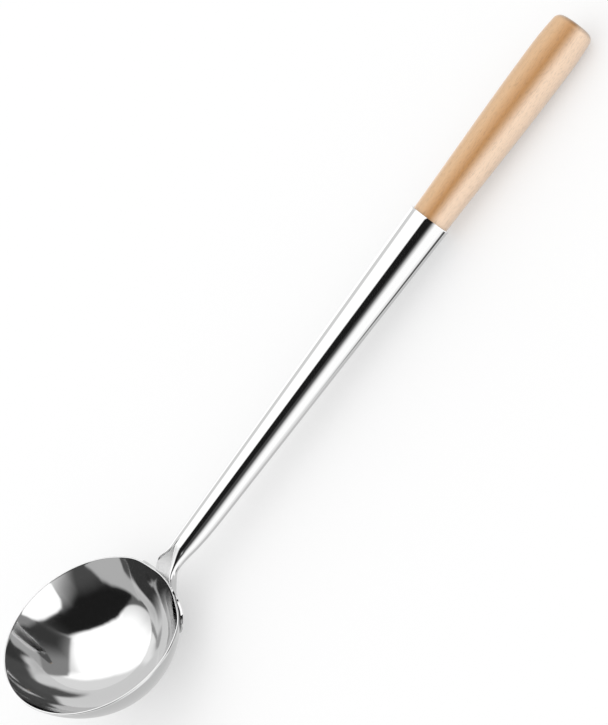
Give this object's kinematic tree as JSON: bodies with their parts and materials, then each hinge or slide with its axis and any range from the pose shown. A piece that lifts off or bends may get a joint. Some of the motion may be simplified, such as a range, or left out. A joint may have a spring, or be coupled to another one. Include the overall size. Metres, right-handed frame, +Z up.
{
  "type": "soup ladle",
  "caption": "Wok-style soup ladle: round polished steel bowl on a tapered tubular shank with a turned wood grip, lying on its back.",
  "frame": {"origin": "centre of the bounding box's bottom face, on the table that the ladle lies on", "axes": "+Z up; +X along the handle from the bowl to the butt of the grip; Y across, the object is the same on both sides"},
  "size_m": [0.4946, 0.112, 0.0714],
  "materials": {
    "bowl_steel": "polished stainless steel with faint circular polishing lines",
    "shank_steel": "mirror-polished stainless steel",
    "grip_wood": "pale turned hardwood, thin satin varnish",
    "weld_steel": "ground weld metal"
  },
  "bodies": {
    "root": {"bowl": "bowl_steel", "shank": "shank_steel", "grip": "grip_wood", "weld_bead": "weld_steel"}
  },
  "joints": []
}
